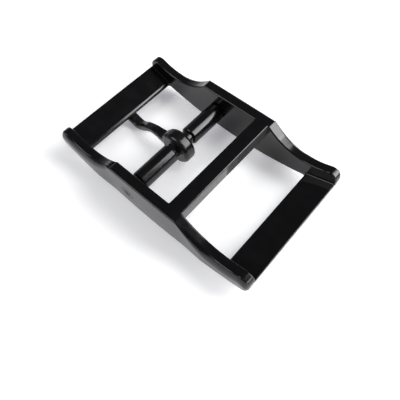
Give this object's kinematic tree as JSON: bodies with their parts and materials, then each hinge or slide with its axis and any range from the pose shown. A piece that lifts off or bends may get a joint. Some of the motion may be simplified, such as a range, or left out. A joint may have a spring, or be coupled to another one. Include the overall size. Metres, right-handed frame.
{
  "type": "belt buckle",
  "caption": "Curved rectangular belt buckle with raised rails, a middle bar, strap sleeves on a through pin and a prong that swings on the same pin.",
  "frame": {"origin": "middle of the frame on the lowest line of the curved front face, which is the face it lies on", "axes": "+X along the strap toward the wider end bar, +Y across the strap, +Z out of the flat back"},
  "size_m": [0.0722, 0.0426, 0.014],
  "materials": {
    "frame_coat": "glossy black coating on a zinc casting",
    "pin_coat": "black coated steel rod with dished ends",
    "sleeve_coat": "glossy black coating on steel tube",
    "prong_coat": "satin black coating on formed steel"
  },
  "bodies": {
    "base": {"frame": "frame_coat", "pin": "pin_coat"},
    "sleeve_near": {"sleeve_near": "sleeve_coat"},
    "sleeve_far": {"sleeve_far": "sleeve_coat"},
    "prong": {"prong": "prong_coat"}
  },
  "joints": [
    {"name": "prong_swing", "type": "hinge", "parent": "base", "child": "prong", "pos_m": [-0.007, 0, 0.0068], "axis": [0, -1, 0], "range_deg": [-1, 150]},
    {"name": "sleeve_near_spin", "type": "hinge", "parent": "base", "child": "sleeve_near", "pos_m": [-0.007, -0.0104, 0.0068], "axis": [0, 1, 0], "continuous": true},
    {"name": "sleeve_far_spin", "type": "hinge", "parent": "base", "child": "sleeve_far", "pos_m": [-0.007, 0.0112, 0.0068], "axis": [0, 1, 0], "continuous": true}
  ]
}
